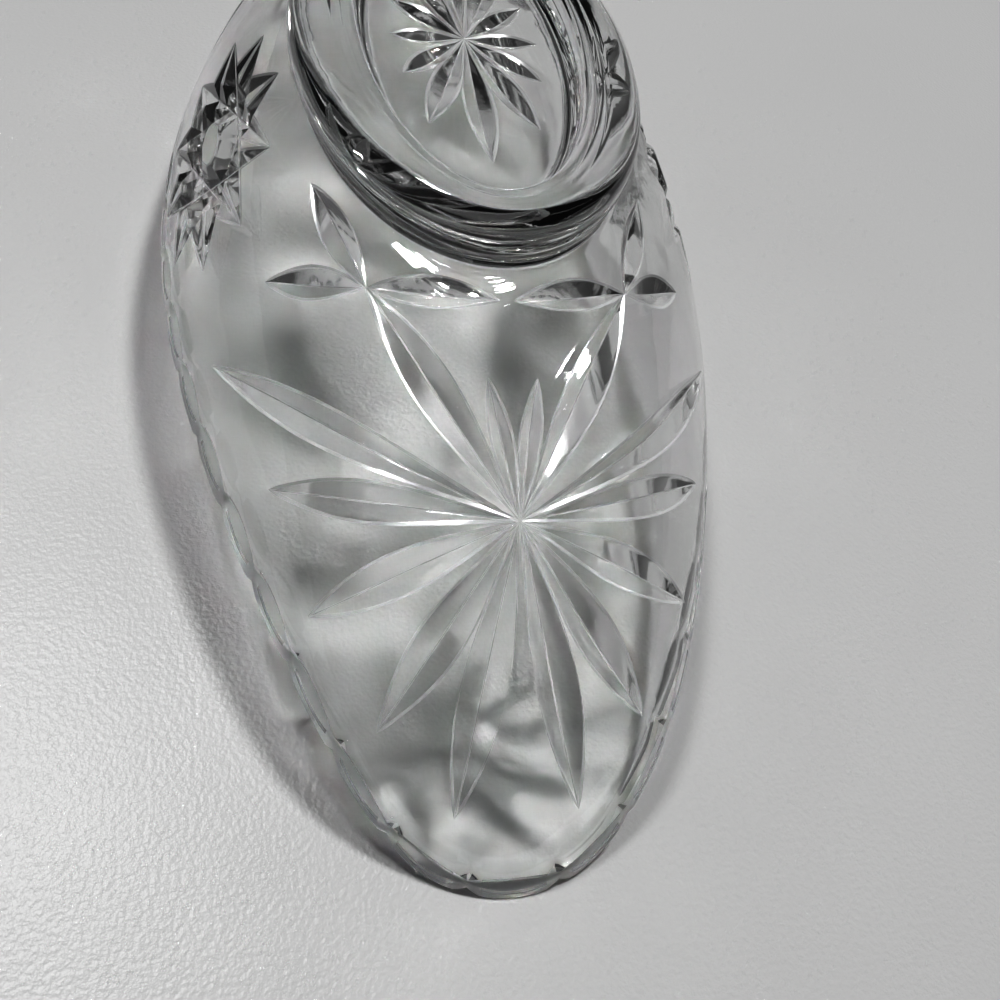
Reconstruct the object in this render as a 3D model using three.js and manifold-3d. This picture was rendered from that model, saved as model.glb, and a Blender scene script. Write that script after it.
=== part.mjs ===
// Boat-shaped cut-glass dish on an oval foot, modelled as it stands turned over: rim ends down, foot on top.
// Millimetres, +Z up, +X along the boat, origin on the table under the middle of the dish.
import * as THREE from "three";
import Module from "manifold-3d";

const wasm = await Module();
wasm.setup();

// Bowl: overall sizes and wall
const BOAT_LENGTH = 250;
const BOAT_WIDTH = 104;
const BOWL_HEIGHT = 57; // table to the flat pad that carries the foot
const PAD_LENGTH = 103;
const PAD_WIDTH = 55;
const RIM_LIFT = 18; // how far the middle of each long side stands off the table
const RIM_THICKNESS = 4;
const FLOOR_THICKNESS = 6.5; // glass between the pad and the floor of the hollow
const FLOOR_INSET = 4; // how far the hollow's floor lies inside the pad's outline

// Bowl: forms that have no size of their own
const FLANK_STRAIGHTNESS = 0.08; // how much the plan is drawn in between the tips and the middle
const TIP_LEVEL = 0.08; // small values keep a longer stretch of each tip level on the table
const WALL_POWER = 1.3; // 1 is a straight wall, 2 an elliptical one

// Rim: lobes with a small notch between each two, and a lens-shaped V cut along each lobe
const RIM_LOBES = 40;
const NOTCH_HEIGHT = 1.5;
const NOTCH_SHARE = 0.17; // share of a lobe from the middle of a notch to the level edge
const TIP_CUT_UP = 2.5; // rim to the bottom line of the cut, at the tips of the boat
const SIDE_CUT_UP = 3.6; // the same at the middle of each long side
const TIP_CUT_WIDTH = 2.4;
const SIDE_CUT_WIDTH = 3.8;
const RIM_CUT_LEAST = 0.4; // width that the cut keeps at a notch
const RIM_CUT_SLOPE = 1.5; // half width of the cut for each unit of its depth

// Foot: outline, rounded flank, resting land and recess
const FOOT_LENGTH = 102;
const FOOT_WIDTH = 59.4;
const FOOT_HEIGHT = 9.6;
const FLANK_HEIGHT = 5; // pad to the widest line of the flank
const WAIST_TUCK = 3.5; // how far the foot narrows to its waist on the pad
const LAND_LENGTH = 96;
const LAND_BREADTH = 45.5; // outer outline of the land, across the boat
const LAND_WIDTH = 4;
const RECESS_DEPTH = 3;
const RECESS_SLOPE = 3.3; // how far the recess wall leans in
const STEP_DEPTH = 1.3; // steep top part of the recess wall
const STEP_SLOPE = 0.5;

// Cut grooves: sharp V cuts, pointed at both ends
const GROOVE_SLOPE = 1.6; // half width of a V cut for each unit of its depth
const CUTTER_PROUD = 0.6; // how far a cutter stands above the glass
const LEAF_STEPS = 6;

// End star: centre on each tip's wall, ray tips by angle round the boat and share of the wall's height
const STAR_UP = 0.591;
const CROSS_CENTRE = { angle: 39.6, up: 0.775 };
const STAR_RAYS = [
  { angle: 6.5, up: 0.76, width: 3.4 },
  { ...CROSS_CENTRE, width: 6.5 },
  { angle: 67, up: 0.3, width: 6 },
  { angle: 51.2, up: 0.32, width: 6 },
  { angle: 40.2, up: 0.252, width: 6.4 },
  { angle: 25.5, up: 0.25, width: 6.8 },
  { angle: 11, up: 0.218, width: 7.2 },
];
const RAY_SWELL = 1.2; // above 1 a ray is widest past its middle

// Cross where the long upper ray ends: three more arms
const CROSS_ARMS = [
  { angle: 63, up: 0.56, width: 5.5 },
  { angle: 2, up: 0.895, width: 5.5 },
  { angle: 62, up: 0.82, width: 5.5 },
];

// Side star: grooves that join every fourth of the points round an oval on the middle of each long side
const SIDE_STAR_UP = 0.48;
const SIDE_STAR_POINTS = 10;
const SIDE_STAR_SKIP = 4;
const SIDE_STAR_LENGTH = 56;
const SIDE_STAR_HEIGHT = 38;
const SIDE_GROOVE_WIDTH = 7;

// Foot star: leaves on the floor of the recess, by angle, length and width, mirrored to all four quarters
const FOOT_RAYS = [
  { angle: 0, length: 34, width: 5 },
  { angle: 20, length: 26.4, width: 5 },
  { angle: 46, length: 16.3, width: 4.4 },
  { angle: 90, length: 12.8, width: 4 },
];
const FOOT_GROOVE_SLOPE = 1.8;

// Fineness of the surfaces
const WALL_RINGS = 5;
const HOLLOW_RINGS = 4;
const FOOT_SIDES = 72;
const FLANK_RINGS = 3;
const NEWTON_STEPS = 12;
const NUDGE = 1e-4;

const pad = { a: PAD_LENGTH / 2, b: PAD_WIDTH / 2 };
const foot = { a: FOOT_LENGTH / 2, b: FOOT_WIDTH / 2 };
const land = { a: LAND_LENGTH / 2, b: LAND_BREADTH / 2 };
const footTop = BOWL_HEIGHT + FOOT_HEIGHT;
const vec = (x, y, z) => new THREE.Vector3(x, y, z);
const rad = THREE.MathUtils.degToRad;

// Plan and height of the rim's outer edge at an angle round the boat.
function rim(angle) {
  const s = Math.sin(angle);
  const draw = 1 - FLANK_STRAIGHTNESS * Math.sin(2 * angle) ** 2;
  const lift = (RIM_LIFT * (1 + TIP_LEVEL) * s ** 4) / (s ** 4 + TIP_LEVEL);
  return vec((BOAT_LENGTH / 2) * Math.cos(angle), (BOAT_WIDTH / 2) * s * draw, lift);
}

// A point between a low outline and a flat oval above it, on a wall that bulges outwards.
function between(low, angle, oval, height, up) {
  const turn = (up * Math.PI) / 2;
  const inward = 1 - Math.abs(Math.cos(turn)) ** (2 / WALL_POWER);
  const rise = Math.abs(Math.sin(turn)) ** (2 / WALL_POWER);
  return vec(
    low.x + (oval.a * Math.cos(angle) - low.x) * inward,
    low.y + (oval.b * Math.sin(angle) - low.y) * inward,
    low.z + (height - low.z) * rise,
  );
}

// The outer wall, from 0 at the rim to 1 at the pad.
const wall = (angle, up) => between(rim(angle), angle, pad, BOWL_HEIGHT, up);

// The share of a bulging wall at which it has risen by a share of its height.
const upFor = (rise) => (Math.asin(rise ** (WALL_POWER / 2)) * 2) / Math.PI;

// The share of the outer wall that lies a given height above the rim.
const upAt = (angle, above) => upFor(above / (BOWL_HEIGHT - rim(angle).z));

function wallNormal(angle, up) {
  const round = wall(angle + NUDGE, up).sub(wall(angle - NUDGE, up));
  const rising = wall(angle, up + NUDGE).sub(wall(angle, up - NUDGE));
  return round.cross(rising).normalize();
}

// Place on the outer wall that a line through a point meets, by Newton steps from a guess.
function onWall(point, along, guess) {
  let { angle, up } = guess;
  let reach = 0;
  for (let step = 0; step < NEWTON_STEPS; step++) {
    const here = wall(angle, up);
    const round = wall(angle + NUDGE, up).sub(here).divideScalar(NUDGE);
    const rising = wall(angle, up + NUDGE).sub(here).divideScalar(NUDGE);
    const slopes = new THREE.Matrix3().set(
      round.x, rising.x, -along.x,
      round.y, rising.y, -along.y,
      round.z, rising.z, -along.z,
    );
    const change = point.clone().addScaledVector(along, reach).sub(here).applyMatrix3(slopes.invert());
    angle += change.x;
    up += change.y;
    reach += change.z;
  }
  return { angle, up };
}

// Arc length round the rim, so that the lobes are equally long.
class RimCurve extends THREE.Curve {
  getPoint(t) {
    return rim(2 * Math.PI * t);
  }
}
const rimCurve = new RimCurve();
const angleAtShare = (share) => 2 * Math.PI * rimCurve.getUtoTmapping(((share % 1) + 1) % 1);

// The stations of one lobe: its notch, the two ends of its level edge, and its middle between them.
const LOBE_STATIONS = [0, NOTCH_SHARE, 0.5, 1 - NOTCH_SHARE];
const rimStations = [];
for (let lobe = 0; lobe < RIM_LOBES; lobe++) {
  for (const place of LOBE_STATIONS) {
    const angle = angleAtShare((lobe - 0.5 + place) / RIM_LOBES);
    const notch = place === 0 ? NOTCH_HEIGHT : 0;
    const lifted = rim(angle).z / RIM_LIFT;
    const cutUp = TIP_CUT_UP + (SIDE_CUT_UP - TIP_CUT_UP) * lifted;
    const cutWidth = TIP_CUT_WIDTH + (SIDE_CUT_WIDTH - TIP_CUT_WIDTH) * lifted;
    const swell = 1 - (2 * place - 1) ** 2;
    const half = (RIM_CUT_LEAST + (cutWidth - RIM_CUT_LEAST) * swell) / 2;
    rimStations.push({ angle, notch, cutUp, half });
  }
}

// Level direction from the rim towards the inside of the boat.
function inward(angle) {
  const along = rim(angle + NUDGE).sub(rim(angle - NUDGE));
  return vec(-along.y, along.x, 0).normalize();
}

// A closed surface from rings of equal length, with a flat cap at both ends.
function skin(rings) {
  const count = rings[0].length;
  const middle = (ring) => ring.reduce((sum, p) => sum.add(p), vec(0, 0, 0)).divideScalar(count);
  const points = [...rings.flat(), middle(rings[0]), middle(rings.at(-1))];
  const first = points.length - 2;
  const last = points.length - 1;
  const faces = [];
  for (let i = 0; i < count; i++) {
    const j = (i + 1) % count;
    for (let r = 0; r + 1 < rings.length; r++) {
      const [a, b] = [r * count + i, r * count + j];
      faces.push(a, a + count, b + count, a, b + count, b);
    }
    faces.push(first, i, j);
    faces.push(last, (rings.length - 1) * count + j, (rings.length - 1) * count + i);
  }
  return new THREE.BufferGeometry()
    .setAttribute("position", new THREE.Float32BufferAttribute(points.flatMap((p) => p.toArray()), 3))
    .setIndex(faces);
}

const solid = (geometry) =>
  new wasm.Manifold(
    new wasm.Mesh({
      numProp: 3,
      vertProperties: geometry.attributes.position.array,
      triVerts: new Uint32Array(geometry.index.array),
    }),
  );

function geometryOf(body) {
  const mesh = body.getMesh();
  return new THREE.BufferGeometry()
    .setAttribute("position", new THREE.BufferAttribute(mesh.vertProperties, 3))
    .setIndex(new THREE.BufferAttribute(mesh.triVerts, 1));
}

// A wedge that cuts one V groove: its edge follows the points, sunk by the depth at each station.
function grooveCutter(points, normals, depths, slope) {
  const rings = points.map((point, i) => {
    const ahead = points[Math.min(i + 1, points.length - 1)];
    const behind = points[Math.max(i - 1, 0)];
    const side = normals[i].clone().cross(ahead.clone().sub(behind)).normalize();
    const half = (depths[i] + CUTTER_PROUD) * slope;
    const top = point.clone().addScaledVector(normals[i], CUTTER_PROUD);
    return [
      point.clone().addScaledVector(normals[i], -depths[i]),
      top.clone().addScaledVector(side, -half),
      top.clone().addScaledVector(side, half),
    ];
  });
  return solid(skin(rings));
}

// The glass left after the cuts; loose chips between crossing grooves fall away.
function cutFrom(body, cuts) {
  const left = cuts.reduce((rest, cut) => rest.subtract(cut), body).decompose();
  return left.reduce((main, piece) => (piece.volume() > main.volume() ? piece : main));
}

// A pointed groove on the outer wall between two places, straight as seen along the wall's normal.
function wallLeaf(from, to, width, swell) {
  const ends = [from, to].map((place) => wall(place.angle, place.up));
  const along = wallNormal(from.angle, from.up).add(wallNormal(to.angle, to.up)).normalize();
  const points = [];
  const normals = [];
  const depths = [];
  let guess = from;
  for (let i = 0; i < LEAF_STEPS; i++) {
    const share = i / (LEAF_STEPS - 1);
    guess = onWall(ends[0].clone().lerp(ends[1], share), along, guess);
    points.push(wall(guess.angle, guess.up));
    normals.push(wallNormal(guess.angle, guess.up));
    depths.push((width / 2 / GROOVE_SLOPE) * Math.sin(Math.PI * share ** swell));
  }
  return grooveCutter(points, normals, depths, GROOVE_SLOPE);
}

// The same place on either side and at either end of the boat.
function mirrored(place, side, end) {
  const angle = rad(place.angle) * side;
  return { angle: end > 0 ? angle : Math.PI - angle, up: place.up };
}

// The star and the two crosses of one end.
function endCuts(end) {
  const centre = mirrored({ angle: 0, up: STAR_UP }, 1, end);
  const cuts = [];
  for (const side of [-1, 1]) {
    const cross = mirrored(CROSS_CENTRE, side, end);
    for (const ray of STAR_RAYS) {
      cuts.push(wallLeaf(centre, mirrored(ray, side, end), ray.width, RAY_SWELL));
    }
    for (const arm of CROSS_ARMS) {
      cuts.push(wallLeaf(cross, mirrored(arm, side, end), arm.width, 1));
    }
  }
  return cuts;
}

// The star of crossing grooves on one long side.
function sideCuts(side) {
  const centre = { angle: (side * Math.PI) / 2, up: SIDE_STAR_UP };
  const middle = wall(centre.angle, centre.up);
  const out = wallNormal(centre.angle, centre.up);
  const upwards = out.clone().cross(vec(-1, 0, 0)).multiplyScalar(-1);
  const tips = [];
  for (let i = 0; i < SIDE_STAR_POINTS; i++) {
    const turn = ((i + 0.5) * 2 * Math.PI) / SIDE_STAR_POINTS;
    const tip = middle.clone();
    tip.x += (SIDE_STAR_LENGTH / 2) * Math.cos(turn);
    tip.addScaledVector(upwards, (SIDE_STAR_HEIGHT / 2) * Math.sin(turn));
    tips.push(onWall(tip, out, centre));
  }
  return tips.map((tip, i) => {
    const across = tips[(i + SIDE_STAR_SKIP) % SIDE_STAR_POINTS];
    return wallLeaf(tip, across, SIDE_GROOVE_WIDTH, 1);
  });
}

// Boat-shaped shell: pad on top, bulging wall, cut and notched rim, hollow with a flat floor.
function bowlBody() {
  const rings = [];
  for (let i = WALL_RINGS; i >= 0; i--) {
    rings.push(
      rimStations.map(({ angle, cutUp, half }) => {
        const start = upAt(angle, cutUp + half);
        return wall(angle, start + ((1 - start) * i) / WALL_RINGS);
      }),
    );
  }
  rings.push(
    rimStations.map(({ angle, cutUp, half }) => {
      const up = upAt(angle, cutUp);
      return wall(angle, up).addScaledVector(wallNormal(angle, up), -half / RIM_CUT_SLOPE);
    }),
  );
  rings.push(rimStations.map(({ angle, cutUp, half }) => wall(angle, upAt(angle, cutUp - half))));
  rings.push(rimStations.map(({ angle, notch }) => wall(angle, upAt(angle, notch))));
  const floor = { a: pad.a - FLOOR_INSET, b: pad.b - FLOOR_INSET };
  const floorHeight = BOWL_HEIGHT - FLOOR_THICKNESS;
  for (let i = 0; i <= HOLLOW_RINGS; i++) {
    rings.push(
      rimStations.map(({ angle, notch }) => {
        const edge = rim(angle).addScaledVector(inward(angle), RIM_THICKNESS);
        const start = upFor(notch / (floorHeight - edge.z));
        return between(edge, angle, floor, floorHeight, start + ((1 - start) * i) / HOLLOW_RINGS);
      }),
    );
  }
  const cuts = [...endCuts(1), ...endCuts(-1), ...sideCuts(1), ...sideCuts(-1)];
  return cutFrom(solid(skin(rings)), cuts);
}

// A level ring of the foot, a given distance inside an outline.
function oval(outline, inset, height) {
  return Array.from({ length: FOOT_SIDES }, (_, i) => {
    const angle = (2 * Math.PI * i) / FOOT_SIDES;
    return vec((outline.a - inset) * Math.cos(angle), (outline.b - inset) * Math.sin(angle), height);
  });
}

// Leaves of the star on the recess floor, each from the middle outwards.
function footCuts() {
  const floorHeight = footTop - RECESS_DEPTH;
  const up = vec(0, 0, 1);
  const cuts = [];
  for (const ray of FOOT_RAYS) {
    const mirrors = [ray.angle, -ray.angle, 180 - ray.angle, 180 + ray.angle];
    const turns = new Set(mirrors.map((turn) => (turn + 360) % 360));
    for (const turn of turns) {
      const heading = rad(turn);
      const points = [];
      const depths = [];
      for (let i = 0; i < LEAF_STEPS; i++) {
        const share = i / (LEAF_STEPS - 1);
        const reach = ray.length * share;
        points.push(vec(reach * Math.cos(heading), reach * Math.sin(heading), floorHeight));
        depths.push((ray.width / 2 / FOOT_GROOVE_SLOPE) * Math.sin(Math.PI * share ** RAY_SWELL));
      }
      const normals = points.map(() => up);
      cuts.push(grooveCutter(points, normals, depths, FOOT_GROOVE_SLOPE));
    }
  }
  return cuts;
}

// Solid oval foot: waist on the pad, rounded flank, level land, sloping recess with its star.
function footBody() {
  const quarter = (i) => (Math.PI / 2) * (i / FLANK_RINGS);
  const rings = [];
  rings.push(oval(land, LAND_WIDTH + RECESS_SLOPE, footTop - RECESS_DEPTH));
  rings.push(oval(land, LAND_WIDTH + STEP_SLOPE, footTop - STEP_DEPTH));
  rings.push(oval(land, LAND_WIDTH, footTop));
  for (let i = FLANK_RINGS; i >= 0; i--) {
    const turn = quarter(i);
    const flare = Math.cos(turn);
    const outline = { a: land.a + (foot.a - land.a) * flare, b: land.b + (foot.b - land.b) * flare };
    rings.push(oval(outline, 0, BOWL_HEIGHT + FLANK_HEIGHT + (FOOT_HEIGHT - FLANK_HEIGHT) * Math.sin(turn)));
  }
  for (let i = 1; i <= FLANK_RINGS; i++) {
    const turn = quarter(i);
    const height = BOWL_HEIGHT + FLANK_HEIGHT * (1 - Math.sin(turn));
    rings.push(oval(foot, WAIST_TUCK * (1 - Math.cos(turn)), height));
  }
  return cutFrom(solid(skin(rings)), footCuts());
}

function glassPiece(name, body) {
  const glass = new THREE.MeshStandardMaterial({
    color: 0xdfe3e2,
    roughness: 0.04,
    metalness: 0,
    transparent: true,
    opacity: 0.35,
  });
  const mesh = new THREE.Mesh(geometryOf(body), glass);
  mesh.name = name;
  return mesh;
}

const dish = new THREE.Group();
dish.add(glassPiece("bowl", bowlBody()));
dish.add(glassPiece("foot", footBody()));

export default dish;
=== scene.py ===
"""Cut-glass boat dish on an oval foot, turned over on a pale table: rim ends down, foot on top."""

import math

import bmesh
import bpy
import numpy as np
from mathutils import Matrix, Vector
from mathutils.bvhtree import BVHTree


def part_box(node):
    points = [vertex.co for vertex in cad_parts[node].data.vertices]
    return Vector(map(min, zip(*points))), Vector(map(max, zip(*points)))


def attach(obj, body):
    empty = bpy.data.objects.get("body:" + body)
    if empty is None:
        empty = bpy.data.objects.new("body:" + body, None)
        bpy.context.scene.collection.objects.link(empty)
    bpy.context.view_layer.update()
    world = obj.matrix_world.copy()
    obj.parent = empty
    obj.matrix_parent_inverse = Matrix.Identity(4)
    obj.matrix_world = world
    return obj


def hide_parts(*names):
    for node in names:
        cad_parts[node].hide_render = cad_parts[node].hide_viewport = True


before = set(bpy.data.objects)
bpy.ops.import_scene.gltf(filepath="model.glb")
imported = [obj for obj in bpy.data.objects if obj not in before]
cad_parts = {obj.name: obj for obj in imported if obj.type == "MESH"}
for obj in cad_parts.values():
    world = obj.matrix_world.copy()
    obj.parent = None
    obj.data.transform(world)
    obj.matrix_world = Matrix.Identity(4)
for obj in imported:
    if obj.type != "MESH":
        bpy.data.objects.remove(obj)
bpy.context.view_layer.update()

# Sizes are in millimetres until a mesh is made. Every mesh, light and camera is in metres.
MILLIMETRE = 0.001
foot_low, foot_high = (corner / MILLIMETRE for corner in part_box("foot"))

# Bowl
BOAT_LENGTH = 250.0
BOAT_WIDTH = 104.0
BOWL_HEIGHT = foot_low.z
PAD = (51.5, 27.5)  # half the length and half the width, as for every oval
RIM_LIFT = 18.0
RIM_THICKNESS = 4.0
FLOOR_THICKNESS = 6.5
FLOOR_INSET = 4.0
FLANK_STRAIGHTNESS = 0.08
TIP_LEVEL = 0.08
WALL_POWER = 1.3

# Rim
RIM_LOBES = 40
NOTCH_HEIGHT = 1.5
NOTCH_SHARE = 0.17
TIP_CUT_UP = 2.5
SIDE_CUT_UP = 3.6
TIP_CUT_WIDTH = 2.4
SIDE_CUT_WIDTH = 3.8
RIM_CUT_LEAST = 0.4
RIM_CUT_SLOPE = 1.1
LIP_ROUND = 0.3
LIP_ROUND_SHARE = 0.45  # most of a short side that a rounded lip takes
EDGE_ROUND = 0.9

# Foot
FOOT = ((foot_high.x - foot_low.x) / 2, (foot_high.y - foot_low.y) / 2)
FOOT_TOP = foot_high.z
FLANK_HEIGHT = 5.0
WAIST_TUCK = 3.5
LAND = (48.0, 22.75)
LAND_WIDTH = 4.0
LAND_RIDGES = 2
RIDGE_DEPTH = 0.2
RECESS_DEPTH = 3.0
RECESS_SLOPE = 3.3
STEP_DEPTH = 1.3
STEP_SLOPE = 0.5
NECK_TURN = math.radians(40)
NECK_REACH = 1.2
NECK_PULL = 1.6
RECESS_CURVE = 1.6
RIDGE_CURVE = 0.7

# Cuts
GROOVE_SLOPE = 1.6
FOOT_GROOVE_SLOPE = 1.8
CUTTER_PROUD = 0.6
LIP_DEPTH = 0.16
LIP_FLARE = 3.2
LIP_SOFT = 0.22
CREASE_HALF = 0.11
CREASE_SHARE = 0.2  # most of a narrow groove's half width that its bottom takes
LIP_SHARE = 0.5  # most of a shallow groove's depth that its lip takes
SOFT_SHARE = 0.75  # the same for its lip and the soft turn below it
WEDGE_OUTLINE = [(0, -1), (1, -1), (2, -1), (3, -1), (3, 1), (2, 1), (1, 1), (0, 1)]  # level, side
WEDGE_SOFT_SIDES = (2, 4, 7)  # both lips and the bottom
WEDGE_CRISP_EDGES = (0, 3, 4, 7)
STAR_UP = 0.591
RAY_SWELL = 1.2
CROSS_CENTRE = (39.6, 0.775)
STAR_RAYS = [  # angle round the boat, share of the wall's height, width
    (6.5, 0.76, 3.4),
    (*CROSS_CENTRE, 6.5),
    (67, 0.3, 6.0),
    (51.2, 0.32, 6.0),
    (40.2, 0.252, 6.4),
    (25.5, 0.25, 6.8),
    (11, 0.218, 7.2),
]
CROSS_ARMS = [(63, 0.56, 5.5), (2, 0.895, 5.5), (62, 0.82, 5.5)]
SIDE_STAR_UP = 0.48
SIDE_STAR_POINTS = 10
SIDE_STAR_SKIP = 4
SIDE_STAR_LENGTH = 56.0
SIDE_STAR_HEIGHT = 38.0
SIDE_GROOVE_WIDTH = 7.0
FOOT_RAYS = [(0, 34.0, 5.0), (20, 26.4, 5.0), (46, 16.3, 4.4), (90, 12.8, 4.0)]  # angle, length, width

# Fineness of the mesh: places round one lobe, closer together at its notch, then rings and their shares
LOBE_PLACES = [0, 0.03, 0.08, 0.15, 0.22, 0.3, 0.42, 0.58, 0.7, 0.78, 0.85, 0.92, 0.97]
RECESS_FLOOR_SHARES = (0.04, 0.2, 0.4, 0.6, 0.8, 0.92)
RECESS_RINGS = 8
STEP_SHARES = (0.12, 0.5, 0.88)
RIDGE_RINGS = 8
FLANK_RINGS = 13
WAIST_RINGS = 4
NECK_RINGS = 9
WALL_RINGS = 44
EDGE_SHARES = (0, 0.3, 0.6, 0.85)
HOLLOW_RINGS = 34
HOLLOW_FLOOR_SHARES = (0.8, 0.55, 0.3, 0.08)
LEAF_STEPS = 24

# Glass finishes in the order of the dish's slots: frosting, depth and scale of the waves, clearness
GLASS = {
    "pressed_glass": (0.0, 0.0005, 55.0, 1.0),
    "cut_glass": (0.08, 0.0003, 90.0, 0.97),
    "lip_glass": (0.2, 0.0003, 90.0, 0.7),
    "rim_glass": (0.35, 0.0003, 90.0, 0.8),
}
PRESSED, CUT, LIP, RIM = range(len(GLASS))
# The rim's bands of faces: upper lip of its cut, both facets, lower lip, band below, edge, underside
RIM_BANDS = (LIP, LIP, PRESSED, RIM, LIP, LIP, RIM, LIP, LIP, RIM)
REFRACTION = 1.53
CLEAN_TONE = (0.945, 0.952, 0.948, 1)
SMUDGED_TONE = (0.915, 0.922, 0.918, 1)
SMUDGE_SCALE = 34.0
SMUDGE_RANGE = (0.52, 0.74)
SMUDGE_FROSTING = 0.02
FINE_SCALE = 900.0
FINE_SHARE = 0.03
WAVE_STRENGTH = 0.35

# Table, room and camera
TABLE_HALF = 20000.0
TABLE_SHADES = (0.52, 0.58)
TABLE_ROUGHNESS = 0.3
CLOUD_SCALE = 5.0
CLOUD_ROUGHNESS = 0.08
GRAIN_SCALE = 1100.0
GRAIN_DEPTH = 0.0003
GRAIN_STRENGTH = 0.4
ROOM_SHADES = [(0.0, 0.08), (0.5, 0.17), (0.62, 0.08), (1.0, 0.13)]  # height from bottom to top, lightness
CAMERA_PLACE = (0.17959, -0.04058, 0.17005)
CAMERA_TURNS = (68.77, 50.79, 15.78)  # azimuth, elevation, roll
CAMERA_LENS = 41.845
CAMERA_SENSOR = 36.0

HOLLOW_FLOOR = (PAD[0] - FLOOR_INSET, PAD[1] - FLOOR_INSET)
RIM_SAMPLES = 8001
NEWTON_STEPS = 12
NUDGE = 1e-4
WALL_NUDGE = 0.002
CORNER_INSET = 0.04  # share of the way to a face's centre, so that a corner finds its own side of an edge
MIXED_COLOUR = 2  # the output of a Mix node that carries a colour


def unit(vectors):
    return vectors / np.linalg.norm(vectors, axis=-1, keepdims=True)


def rim(angle):
    """The rim's outer edge at angles round the boat."""
    s = np.sin(angle)
    draw = 1 - FLANK_STRAIGHTNESS * np.sin(2 * angle) ** 2
    lift = RIM_LIFT * (1 + TIP_LEVEL) * s**4 / (s**4 + TIP_LEVEL)
    return np.stack([BOAT_LENGTH / 2 * np.cos(angle), BOAT_WIDTH / 2 * s * draw, lift], -1)


def between(low, angle, oval, height, up):
    """Points between a low outline and a flat oval above it, on a wall that bulges outwards."""
    turn = np.asarray(up) * math.pi / 2
    inward = 1 - np.abs(np.cos(turn)) ** (2 / WALL_POWER)
    rise = np.abs(np.sin(turn)) ** (2 / WALL_POWER)
    x = low[..., 0] + (oval[0] * np.cos(angle) - low[..., 0]) * inward
    y = low[..., 1] + (oval[1] * np.sin(angle) - low[..., 1]) * inward
    z = low[..., 2] + (height - low[..., 2]) * rise
    return np.stack([x, y, z], -1)


def wall(angle, up):
    """The outer wall, from 0 at the rim to 1 at the pad under the foot."""
    return between(rim(angle), angle, PAD, BOWL_HEIGHT, up)


def wall_normal(angle, up):
    across = wall(angle + NUDGE, up) - wall(angle - NUDGE, up)
    rising = wall(angle, up + NUDGE) - wall(angle, up - NUDGE)
    return unit(np.cross(across, rising))


def up_for(rise):
    """The share of a bulging wall at which it has risen by a share of its height."""
    return np.arcsin(rise ** (WALL_POWER / 2)) * 2 / math.pi


def up_at(angle, above):
    """The share of the outer wall that lies a given height above the rim."""
    return up_for(above / (BOWL_HEIGHT - rim(angle)[..., 2]))


def on_wall(point, along, guess):
    """Place on the outer wall that a line through a point meets, by Newton steps from a guess."""
    angle, up = guess
    reach = 0.0
    for _ in range(NEWTON_STEPS):
        here = wall(angle, up)
        across = (wall(angle + NUDGE, up) - here) / NUDGE
        rising = (wall(angle, up + NUDGE) - here) / NUDGE
        change = np.linalg.solve(np.stack([across, rising, -along], -1), point + along * reach - here)
        angle, up, reach = angle + change[0], up + change[1], reach + change[2]
    return angle, up


def rim_stations():
    """Angles of the shaped places round the rim, and each one's place on its lobe; all lobes are as long."""
    fine = np.linspace(0, 2 * math.pi, RIM_SAMPLES)
    steps = np.linalg.norm(np.diff(rim(fine), axis=0), axis=1)
    run = np.concatenate([[0], np.cumsum(steps)])
    place = np.tile(LOBE_PLACES, RIM_LOBES)
    lobe = np.repeat(np.arange(RIM_LOBES), len(LOBE_PLACES))
    share = (lobe - 0.5 + place) / RIM_LOBES
    angle = np.interp(share % 1, run / run[-1], fine)
    return np.where(share < 0, angle - 2 * math.pi, angle), place


ANGLE, PLACE = rim_stations()
FROM_NOTCH = np.minimum(PLACE, 1 - PLACE)
NOTCH = NOTCH_HEIGHT * np.clip(1 - FROM_NOTCH / NOTCH_SHARE, 0, 1)
LIFTED = rim(ANGLE)[:, 2] / RIM_LIFT
CUT_UP = TIP_CUT_UP + (SIDE_CUT_UP - TIP_CUT_UP) * LIFTED
CUT_WIDTH = TIP_CUT_WIDTH + (SIDE_CUT_WIDTH - TIP_CUT_WIDTH) * LIFTED
CUT_HALF = (RIM_CUT_LEAST + (CUT_WIDTH - RIM_CUT_LEAST) * (1 - (2 * PLACE - 1) ** 2)) / 2


def level_inward(angle):
    """Level directions from the rim towards the hollow."""
    along = rim(angle + NUDGE) - rim(angle - NUDGE)
    return unit(np.stack([-along[..., 1], along[..., 0], np.zeros_like(angle)], -1))


def oval(outline, inset, height):
    """A level ring of the foot, a given distance inside an outline."""
    x = (outline[0] - inset) * np.cos(ANGLE)
    y = (outline[1] - inset) * np.sin(ANGLE)
    return np.stack([x, y, np.full_like(x, height)], -1)


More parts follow.
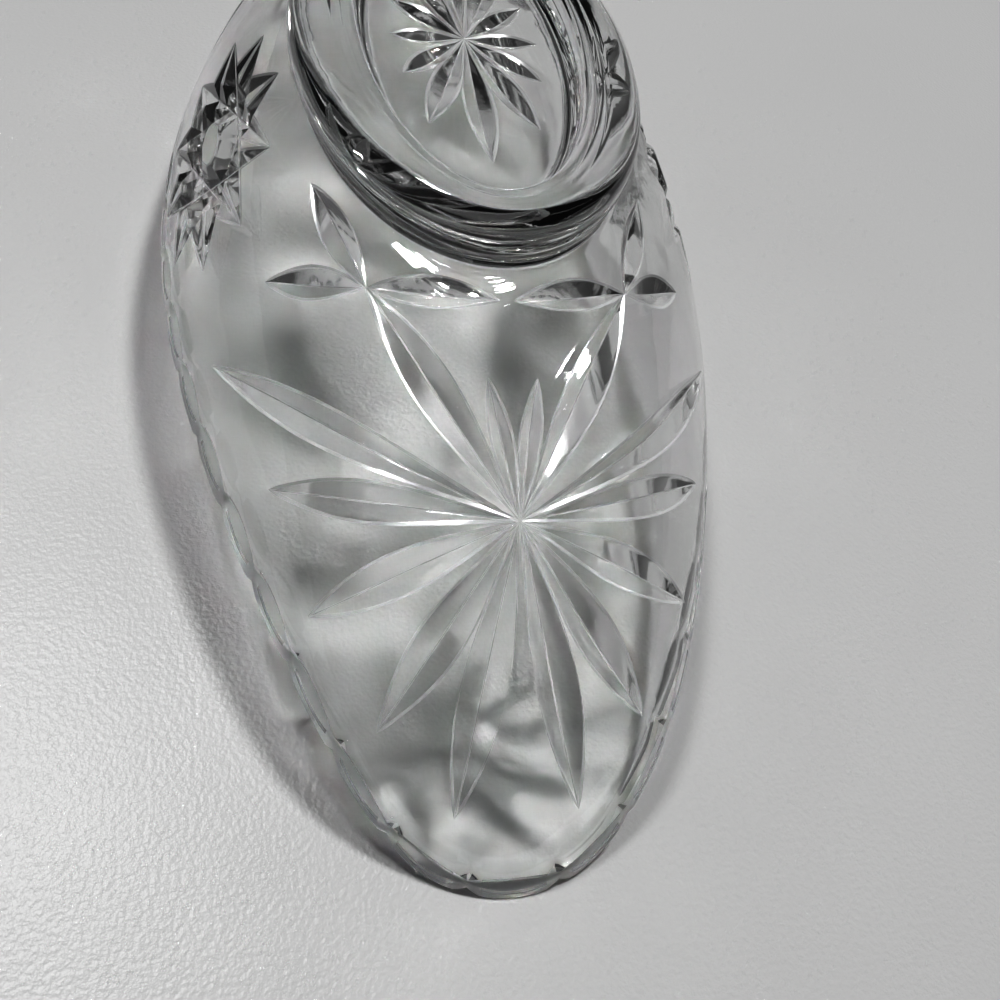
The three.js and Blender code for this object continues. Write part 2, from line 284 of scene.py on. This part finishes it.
def foot_rings():
    """Recess floor, recess wall, ridged land and rounded flank, from the middle outwards."""
    floor = FOOT_TOP - RECESS_DEPTH
    edge = oval(LAND, LAND_WIDTH + RECESS_SLOPE, floor)
    middle = np.array([0, 0, floor])
    rings = [middle + (edge - middle) * share for share in RECESS_FLOOR_SHARES]
    step = FOOT_TOP - STEP_DEPTH
    for share in np.linspace(0, 1, RECESS_RINGS):  # gentle lower part of the recess wall
        inset = RECESS_SLOPE + (STEP_SLOPE - RECESS_SLOPE) * share
        rings.append(oval(LAND, LAND_WIDTH + inset, floor + (step - floor) * share**RECESS_CURVE))
    for share in STEP_SHARES:  # steep upper part
        rings.append(oval(LAND, LAND_WIDTH + STEP_SLOPE * (1 - share), step + STEP_DEPTH * share))
    steps = RIDGE_RINGS * LAND_RIDGES
    for i in range(1, steps):
        share = i / steps
        dip = RIDGE_DEPTH * (1 - abs(math.sin(math.pi * LAND_RIDGES * share)) ** RIDGE_CURVE)
        rings.append(oval(LAND, LAND_WIDTH * (1 - share), FOOT_TOP - dip))
    widest = BOWL_HEIGHT + FLANK_HEIGHT
    for turn in np.linspace(math.pi / 2, 0, FLANK_RINGS):
        outline = [inner + (outer - inner) * math.cos(turn) for inner, outer in zip(LAND, FOOT)]
        rings.append(oval(outline, 0, widest + (FOOT_TOP - widest) * math.sin(turn)))
    for turn in np.linspace(0, NECK_TURN, WAIST_RINGS + 1)[1:]:
        height = BOWL_HEIGHT + FLANK_HEIGHT * (1 - math.sin(turn))
        rings.append(oval(FOOT, WAIST_TUCK * (1 - math.cos(turn)), height))
    return rings


def neck_rings(start, heading):
    """The hollow curve from the foot's flank to the bowl, and the share of the bowl's wall where it ends."""
    spread = np.linalg.norm((rim(ANGLE) - wall(ANGLE, 1.0))[:, :2], axis=1)
    end = 1 - up_for(NECK_REACH / spread)
    stop = wall(ANGLE, end)
    leaving = unit(wall(ANGLE, end - WALL_NUDGE) - stop)
    first = start + heading * NECK_PULL
    last = stop - leaving * NECK_PULL
    rings = []
    for t in np.linspace(0, 1, NECK_RINGS + 1)[1:]:
        near = (1 - t) ** 3 * start + 3 * t * (1 - t) ** 2 * first
        rings.append(near + 3 * t * t * (1 - t) * last + t**3 * stop)
    return rings, end


def rounded(before, corner, after):
    """Three rings that turn a corner softly."""
    rings = []
    for other in (before, after):
        length = np.linalg.norm(other - corner, axis=1, keepdims=True)
        rings.append(corner + (other - corner) * np.minimum(LIP_ROUND / length, LIP_ROUND_SHARE))
    return [rings[0], rings[0] * 0.25 + corner * 0.5 + rings[1] * 0.25, rings[1]]


def bowl_rings(end):
    """Outer wall, cut and notched rim, inner edge and hollow; also which ring is the deepest of the cut."""
    start = up_at(ANGLE, CUT_UP + CUT_HALF)
    shares = np.linspace(1, 0, WALL_RINGS + 1)[1:]
    rings = [wall(ANGLE, start + (end - start) * share) for share in shares]
    cut_top = rings.pop()
    deepest = up_at(ANGLE, CUT_UP)
    crease = wall(ANGLE, deepest) - wall_normal(ANGLE, deepest) * (CUT_HALF / RIM_CUT_SLOPE)[:, None]
    cut_foot = wall(ANGLE, up_at(ANGLE, CUT_UP - CUT_HALF))
    lip = wall(ANGLE, up_at(ANGLE, NOTCH))
    hollow = rim(ANGLE) + level_inward(ANGLE) * RIM_THICKNESS
    depth = BOWL_HEIGHT - FLOOR_THICKNESS - hollow[:, 2]
    corner, begin = (up_for((NOTCH + above) / depth) for above in (0.0, EDGE_ROUND))
    turn = between(hollow, ANGLE, HOLLOW_FLOOR, BOWL_HEIGHT - FLOOR_THICKNESS, corner)
    low = turn - level_inward(ANGLE) * EDGE_ROUND
    rings += rounded(rings[-1], cut_top, crease) + [crease]
    crisp = len(rings) - 1
    rings += rounded(crease, cut_foot, lip) + rounded(cut_foot, lip, low)
    tops = []
    for share in np.linspace(0, 1, HOLLOW_RINGS):
        up = begin + (1 - begin) * share
        tops.append(between(hollow, ANGLE, HOLLOW_FLOOR, BOWL_HEIGHT - FLOOR_THICKNESS, up))
    for t in EDGE_SHARES:
        rings.append((1 - t) ** 2 * low + 2 * t * (1 - t) * turn + t * t * tops[0])
    rings.extend(tops)
    middle = np.array([0, 0, BOWL_HEIGHT - FLOOR_THICKNESS])
    for share in HOLLOW_FLOOR_SHARES:
        rings.append(middle + (tops[-1] - middle) * share)
    return rings, crisp


def new_object(name, points, faces):
    """A mesh in the scene, from points in millimetres."""
    mesh = bpy.data.meshes.new(name)
    mesh.from_pydata((np.asarray(points) * MILLIMETRE).tolist(), [], faces)
    mesh.update()
    made = bpy.data.objects.new(name, mesh)
    bpy.context.scene.collection.objects.link(made)
    return made


def mark_crisp(mesh, pairs):
    """Keeps the given edges sharp and lets every other edge shade smoothly."""
    mesh.shade_smooth()
    crisp = mesh.attributes.new("sharp_edge", "BOOLEAN", "EDGE")
    wanted = {tuple(sorted(pair)) for pair in pairs}
    marks = [tuple(sorted(edge.vertices)) in wanted for edge in mesh.edges]
    crisp.data.foreach_set("value", marks)


def skin_faces(rings, count):
    """Quads between rings of equal length and a fan at both ends, facing out."""
    faces = []
    first, last = rings * count, rings * count + 1
    for i in range(count):
        j = (i + 1) % count
        faces.append((first, i, j))
        for ring in range(rings - 1):
            a, b = ring * count + i, ring * count + j
            faces.append((a, a + count, b + count, b))
        faces.append((last, (rings - 1) * count + j, (rings - 1) * count + i))
    return faces


def glass_slots(rings, cut):
    """The finish of each face: soft and frosted bands along the rim's cut, and a soft step in the recess."""
    slots = np.full((len(ANGLE), rings + 1), PRESSED)
    upper_lip = cut - 2
    at_rim = slice(upper_lip, upper_lip + len(RIM_BANDS))
    slots[:, at_rim] = RIM_BANDS
    near_notch = np.minimum(FROM_NOTCH, np.roll(FROM_NOTCH, -1)) < NOTCH_SHARE / 2
    slots[near_notch, at_rim] = RIM
    step = len(RECESS_FLOOR_SHARES) + RECESS_RINGS
    slots[:, step : step + len(STEP_SHARES) + 1] = LIP
    return slots


def uncut_dish():
    """The pressed blank of the dish: one body of glass, bowl and foot together."""
    foot = foot_rings()
    neck, end = neck_rings(foot[-1], unit(foot[-1] - foot[-2]))
    bowl, crisp = bowl_rings(end)
    rings = foot + neck + bowl
    count = len(ANGLE)
    cut = len(foot) + len(neck) + crisp
    points = np.concatenate(rings + [rings[0].mean(0)[None], rings[-1].mean(0)[None]])
    blank = new_object("blank", points, skin_faces(len(rings), count))
    mark_crisp(blank.data, [(cut * count + i, cut * count + (i + 1) % count) for i in range(count)])
    blank.data.polygons.foreach_set("material_index", glass_slots(len(rings), cut).ravel())
    return blank


def groove_cutter(points, normals, depths, slope):
    """A wedge that cuts one V groove with soft lips; its edge lies below the points by their depths."""
    side = unit(np.cross(normals, np.gradient(points, axis=0)))
    crease = np.minimum(CREASE_HALF, depths * slope * CREASE_SHARE)
    lip = np.minimum(depths * LIP_SHARE, LIP_DEPTH)
    soft = np.minimum(depths * SOFT_SHARE, LIP_DEPTH + LIP_SOFT)
    flat = depths - crease / slope
    top = (depths - lip) * slope + (lip + CUTTER_PROUD) * LIP_FLARE
    heights = np.stack([-flat, -soft, -lip, np.full_like(depths, CUTTER_PROUD)], 1)
    halves = np.stack([crease, (depths - soft) * slope, (depths - lip) * slope, top], 1)
    rows = []
    for level, sign in WEDGE_OUTLINE:
        rows.append(points + normals * heights[:, level, None] + side * (sign * halves[:, level, None]))
    steps, wide = len(points), len(WEDGE_OUTLINE)
    faces = [tuple(range(wide)), tuple(reversed(range(wide * (steps - 1), wide * steps)))]
    for i in range(steps - 1):
        for j in range(wide):
            a, b = wide * i + j, wide * i + (j + 1) % wide
            faces.append((a, a + wide, b + wide, b))
    cutter = new_object("groove_cutter", np.stack(rows, 1).reshape(-1, 3), faces)
    soft_faces = [0, 0] + [int(j in WEDGE_SOFT_SIDES) for _ in range(steps - 1) for j in range(wide)]
    cutter.data.polygons.foreach_set("material_index", soft_faces)
    pairs = [(wide * i + j, wide * (i + 1) + j) for i in range(steps - 1) for j in WEDGE_CRISP_EDGES]
    pairs += [(wide * i + j, wide * i + (j + 1) % wide) for i in (0, steps - 1) for j in range(wide)]
    mark_crisp(cutter.data, pairs)
    return cutter


def wall_leaf(start, stop, width, swell):
    """A pointed groove on the outer wall between two places, straight as seen along the wall's normal."""
    first, last = wall(*start), wall(*stop)
    along = unit(wall_normal(*start) + wall_normal(*stop))
    share = np.linspace(0, 1, LEAF_STEPS)
    places = []
    guess = start
    for s in share:
        guess = on_wall(first + (last - first) * s, along, guess)
        places.append(guess)
    angle, up = np.array(places).T
    depths = width / 2 / GROOVE_SLOPE * np.abs(np.sin(math.pi * share**swell))
    return groove_cutter(wall(angle, up), wall_normal(angle, up), depths, GROOVE_SLOPE)


def mirrored(degrees, up, side, end):
    """The same place on either side and at either end of the boat."""
    angle = math.radians(degrees) * side
    return (angle if end > 0 else math.pi - angle), up


def end_star(end):
    """The star of long rays and the two crosses on one end of the boat."""
    centre = mirrored(0, STAR_UP, 1, end)
    cutters = []
    for side in (-1, 1):
        cross = mirrored(*CROSS_CENTRE, side, end)
        for degrees, up, width in STAR_RAYS:
            cutters.append(wall_leaf(centre, mirrored(degrees, up, side, end), width, RAY_SWELL))
        for degrees, up, width in CROSS_ARMS:
            cutters.append(wall_leaf(cross, mirrored(degrees, up, side, end), width, 1))
    return cutters


def side_star(side):
    """The star of crossing grooves on one long side."""
    centre = (side * math.pi / 2, SIDE_STAR_UP)
    middle, out = wall(*centre), wall_normal(*centre)
    upwards = np.cross(out, np.array([1.0, 0, 0]))
    tips = []
    for i in range(SIDE_STAR_POINTS):
        turn = (i + 0.5) * 2 * math.pi / SIDE_STAR_POINTS
        tip = middle + upwards * (SIDE_STAR_HEIGHT / 2 * math.sin(turn))
        tip[0] += SIDE_STAR_LENGTH / 2 * math.cos(turn)
        tips.append(on_wall(tip, out, centre))
    pairs = [(tips[i], tips[(i + SIDE_STAR_SKIP) % SIDE_STAR_POINTS]) for i in range(SIDE_STAR_POINTS)]
    return [wall_leaf(tip, across, SIDE_GROOVE_WIDTH, 1) for tip, across in pairs]


def foot_star():
    """The leaves on the recess floor of the foot."""
    cutters = []
    share = np.linspace(0, 1, LEAF_STEPS)
    up = np.tile([0.0, 0, 1], (LEAF_STEPS, 1))
    headings = {}
    for degrees, length, width in FOOT_RAYS:
        for turn in (degrees, -degrees, 180 - degrees, 180 + degrees):
            headings[turn % 360] = (length, width)
    for turn, (length, width) in headings.items():
        along = np.array([math.cos(math.radians(turn)), math.sin(math.radians(turn)), 0])
        points = along * (length * share)[:, None] + np.array([0, 0, FOOT_TOP - RECESS_DEPTH])
        depths = width / 2 / FOOT_GROOVE_SLOPE * np.abs(np.sin(math.pi * share**RAY_SWELL))
        cutters.append(groove_cutter(points, up, depths, FOOT_GROOVE_SLOPE))
    return cutters


def combined(body, tool, operation):
    """Joins or cuts a body with a tool and keeps the result in the body's mesh."""
    step = body.modifiers.new("cut", "BOOLEAN")
    step.object = tool
    step.operation = operation
    step.solver = "MANIFOLD"
    step.material_mode = "TRANSFER"
    view = bpy.context.evaluated_depsgraph_get()
    made = bpy.data.meshes.new_from_object(body.evaluated_get(view))
    body.modifiers.clear()
    body.data = made


class NormalSource:
    """The smooth normals of a surface, for any point that lies on it."""

    def __init__(self, mesh, flip):
        mesh.calc_loop_triangles()
        self.corners = np.array([tri.vertices[:] for tri in mesh.loop_triangles])
        self.points = np.array([vertex.co[:] for vertex in mesh.vertices])
        normals = np.array([corner.vector[:] for corner in mesh.corner_normals])
        loops = np.array([tri.loops[:] for tri in mesh.loop_triangles])
        self.normals = normals[loops] * flip
        self.tree = BVHTree.FromPolygons(self.points.tolist(), self.corners.tolist())

    def distances(self, points):
        return np.array([self.tree.find_nearest(point)[3] for point in points])

    def at(self, points):
        hits, faces = [], []
        for point in points:
            hit, _, index, _ = self.tree.find_nearest(point)
            hits.append(hit[:])
            faces.append(index)
        a, b, c = np.moveaxis(self.points[self.corners[faces]], 1, 0)
        whole = np.cross(b - a, c - a)
        size = (whole * whole).sum(-1)
        v = (np.cross(hits - a, c - a) * whole).sum(-1) / size
        w = (np.cross(b - a, hits - a) * whole).sum(-1) / size
        shares = np.stack([1 - v - w, v, w], -1)
        return (self.normals[faces] * shares[..., None]).sum(1)


def joined_copy(objects):
    """One mesh that holds copies of several objects' faces and crisp edges, uncut."""
    points, faces, pairs = [], [], []
    for made in objects:
        mesh, shift = made.data, len(points)
        points += [vertex.co[:] for vertex in mesh.vertices]
        faces += [tuple(v + shift for v in face.vertices) for face in mesh.polygons]
        crisp = mesh.attributes["sharp_edge"].data
        pairs += [tuple(v + shift for v in edge.vertices) for edge in mesh.edges if crisp[edge.index].value]
    joined = bpy.data.meshes.new("all_cutters")
    joined.from_pydata(points, [], faces)
    joined.update()
    mark_crisp(joined, pairs)
    return joined


def keep_largest(mesh):
    """Drops loose chips left between crossing grooves."""
    parent = list(range(len(mesh.vertices)))

    def root(i):
        while parent[i] != i:
            parent[i] = parent[parent[i]]
            i = parent[i]
        return i

    for edge in mesh.edges:
        a, b = (root(v) for v in edge.vertices)
        parent[a] = b
    roots = np.array([root(i) for i in range(len(parent))])
    names, counts = np.unique(roots, return_counts=True)
    main = names[counts.argmax()]
    work = bmesh.new()
    work.from_mesh(mesh)
    work.verts.ensure_lookup_table()
    chips = [work.verts[i] for i in np.flatnonzero(roots != main).tolist()]
    bmesh.ops.delete(work, geom=chips, context="VERTS")
    work.to_mesh(mesh)
    work.free()


def set_normals(mesh, pressed, cut):
    """Smooth normals on the pressed glass and along each side of a groove, crisp where they meet."""
    normals = np.zeros((len(mesh.loops), 3))
    centres = [face.center for face in mesh.polygons]
    is_cut = cut.distances(centres) < pressed.distances(centres)
    for source, on_cut in ((pressed, False), (cut, True)):
        loops, points = [], []
        for face in mesh.polygons:
            if is_cut[face.index] == on_cut:
                for loop in face.loop_indices:
                    point = mesh.vertices[mesh.loops[loop].vertex_index].co
                    loops.append(loop)
                    points.append(point + (face.center - point) * CORNER_INSET)
        normals[loops] = source.at(points)
    mesh.shade_smooth()
    mesh.normals_split_custom_set(unit(normals).tolist())


class Value:
    """A shader socket in arithmetic: each operation adds a Math node."""

    def __init__(self, finish, socket):
        self.finish = finish
        self.socket = socket

    def math(self, operation, first, second):
        return self.finish.node("ShaderNodeMath", {"operation": operation}, {0: first, 1: second})

    def __add__(self, other):
        return self.math("ADD", self, other)

    def __radd__(self, other):
        return self.math("ADD", other, self)

    def __mul__(self, other):
        return self.math("MULTIPLY", self, other)

    def __rmul__(self, other):
        return self.math("MULTIPLY", other, self)


class Finish:
    """Builds the nodes of one material or of the surroundings."""

    def __init__(self, owner):
        owner.use_nodes = True
        self.tree = owner.node_tree
        self.tree.nodes.clear()

    def node(self, kind, settings, sockets, output=0):
        """Adds a node, with its settings first and then the value or link of each socket."""
        made = self.tree.nodes.new(kind)
        for name, value in settings.items():
            if name == "stops":
                ramp = made.color_ramp
                for stop, (place, colour) in zip(self.stops(ramp, len(value)), value):
                    stop.position = place
                    stop.color = colour
            else:
                setattr(made, name, value)
        for name, value in sockets.items():
            if isinstance(value, Value):
                self.tree.links.new(value.socket, made.inputs[name])
            else:
                made.inputs[name].default_value = value
        return Value(self, made.outputs[output]) if made.outputs else made

    def noise(self, place, scale, detail):
        sockets = {"Vector": place, "Scale": scale, "Detail": detail}
        return self.node("ShaderNodeTexNoise", {}, sockets, "Fac")

    def blend(self, share, first, second):
        """A colour between two others."""
        sockets = {"Factor": share, "A": first, "B": second}
        return self.node("ShaderNodeMix", {"data_type": "RGBA"}, sockets, MIXED_COLOUR)

    @staticmethod
    def stops(ramp, count):
        while len(ramp.elements) < count:
            ramp.elements.new(0.5)
        return ramp.elements


def grey(level):
    return (level, level, level, 1.0)


def glass_finish(name, frosting, waviness, wave_scale, clearness):
    """Clear glass with faint waves and smudges, and almost no colour."""
    material = bpy.data.materials.new(name)
    finish = Finish(material)
    place = finish.node("ShaderNodeTexCoord", {}, {}, "Object")
    waves = finish.noise(place, wave_scale, 2.0)
    fine = finish.noise(place, FINE_SCALE, 3.0)
    smudge = finish.noise(place, SMUDGE_SCALE, 5.0)
    low, high = SMUDGE_RANGE
    cloud = finish.node("ShaderNodeMapRange", {}, {"Value": smudge, "From Min": low, "From Max": high})
    bump = finish.node(
        "ShaderNodeBump",
        {},
        {"Strength": WAVE_STRENGTH, "Distance": waviness, "Height": waves + FINE_SHARE * fine},
        "Normal",
    )
    shader = finish.node(
        "ShaderNodeBsdfPrincipled",
        {},
        {
            "Base Color": finish.blend(cloud, CLEAN_TONE, SMUDGED_TONE),
            "Roughness": frosting + SMUDGE_FROSTING * cloud * fine,
            "IOR": REFRACTION,
            "Transmission Weight": clearness,
            "Normal": bump,
        },
    )
    finish.node("ShaderNodeOutputMaterial", {}, {"Surface": shader})
    return material


def table_finish():
    """Pale smooth table top with a fine pebbled grain."""
    material = bpy.data.materials.new("pale_table")
    finish = Finish(material)
    place = finish.node("ShaderNodeTexCoord", {}, {}, "Object")
    grain = finish.noise(place, GRAIN_SCALE, 2.0)
    cloud = finish.noise(place, CLOUD_SCALE, 3.0)
    bump = finish.node(
        "ShaderNodeBump",
        {},
        {"Strength": GRAIN_STRENGTH, "Distance": GRAIN_DEPTH, "Height": grain},
        "Normal",
    )
    shader = finish.node(
        "ShaderNodeBsdfPrincipled",
        {},
        {
            "Base Color": finish.blend(cloud, *(grey(shade) for shade in TABLE_SHADES)),
            "Roughness": TABLE_ROUGHNESS + CLOUD_ROUGHNESS * cloud,
            "Normal": bump,
        },
    )
    finish.node("ShaderNodeOutputMaterial", {}, {"Surface": shader})
    return material


def surroundings():
    """Soft grey room, lightest where it meets the table and overhead."""
    world = bpy.data.worlds.new("room")
    bpy.context.scene.world = world
    finish = Finish(world)
    way = finish.node("ShaderNodeTexCoord", {}, {}, "Generated")
    height = finish.node("ShaderNodeSeparateXYZ", {}, {"Vector": way}, "Z")
    stops = [(place, grey(shade)) for place, shade in ROOM_SHADES]
    shade = finish.node("ShaderNodeValToRGB", {"stops": stops}, {"Fac": 0.5 + 0.5 * height})
    sky = finish.node("ShaderNodeBackground", {}, {"Color": shade, "Strength": 1.0})
    finish.node("ShaderNodeOutputWorld", {}, {"Surface": sky})


def soft_light(name, place, size, power, reflected):
    """A square panel that faces the dish; only a reflected one shows in glossy surfaces."""
    lamp = bpy.data.lights.new(name, "AREA")
    lamp.size = size
    lamp.energy = power
    made = bpy.data.objects.new(name, lamp)
    bpy.context.scene.collection.objects.link(made)
    made.location = place
    made.rotation_euler = (-Vector(place)).to_track_quat("-Z", "Y").to_euler()
    made.visible_glossy = reflected


def photo_camera():
    """Looks down along the boat from above its near end, leaning a little to one side."""
    azimuth, elevation, roll = (math.radians(turn) for turn in CAMERA_TURNS)
    level = math.cos(elevation)
    back = Vector((math.sin(azimuth) * level, -math.cos(azimuth) * level, math.sin(elevation)))
    right = Vector((0, 0, 1)).cross(back).normalized()
    upward = back.cross(right)
    leaning = math.cos(roll) * right + math.sin(roll) * upward
    upright = math.cos(roll) * upward - math.sin(roll) * right
    lens = bpy.data.cameras.new("photo_camera")
    lens.sensor_width = CAMERA_SENSOR
    lens.lens = CAMERA_LENS
    lens.clip_start = 0.01
    camera = bpy.data.objects.new("photo_camera", lens)
    bpy.context.scene.collection.objects.link(camera)
    turned = Matrix((leaning, upright, back)).transposed().to_4x4()
    camera.matrix_world = Matrix.Translation(CAMERA_PLACE) @ turned
    bpy.context.scene.camera = camera


def picture_tone():
    """Firm contrast, and all of the light that the glass gathers on the table."""
    scene = bpy.context.scene
    scene.view_settings.view_transform = "Standard"
    scene.view_settings.gamma = 0.7
    scene.view_settings.exposure = -0.06
    scene.cycles.sample_clamp_indirect = 0.0
    scene.cycles.blur_glossy = 0.1


def table_top():
    corners = [(x * TABLE_HALF, y * TABLE_HALF, 0) for x, y in ((-1, -1), (1, -1), (1, 1), (-1, 1))]
    table = new_object("table_top", corners, [(0, 1, 2, 3)])
    table.data.materials.append(table_finish())


def glass_dish():
    """The dish with all its cuts, as one closed body of glass."""
    dish = uncut_dish()
    glass = [glass_finish(name, *look) for name, look in GLASS.items()]
    for material in glass:
        dish.data.materials.append(material)
    cutters = end_star(1) + end_star(-1) + side_star(1) + side_star(-1) + foot_star()
    pressed = NormalSource(dish.data, 1)
    cut = NormalSource(joined_copy(cutters), -1)
    tool = cutters[0]
    for cutter in cutters:
        cutter.data.materials.append(glass[CUT])
        cutter.data.materials.append(glass[LIP])
    for cutter in cutters[1:]:
        combined(tool, cutter, "UNION")
    combined(dish, tool, "DIFFERENCE")
    for cutter in cutters:
        bpy.data.objects.remove(cutter)
    keep_largest(dish.data)
    set_normals(dish.data, pressed, cut)
    dish.name = "dish_glass"
    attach(dish, "root")
    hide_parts("bowl", "foot")


glass_dish()
table_top()
surroundings()
soft_light("ceiling", place=(-1.88, -1.08, 4.6), size=0.8, power=105.0, reflected=True)
soft_light("window", place=(-1.44, 1.56, 4.88), size=0.7, power=216.0, reflected=False)
photo_camera()
picture_tone()
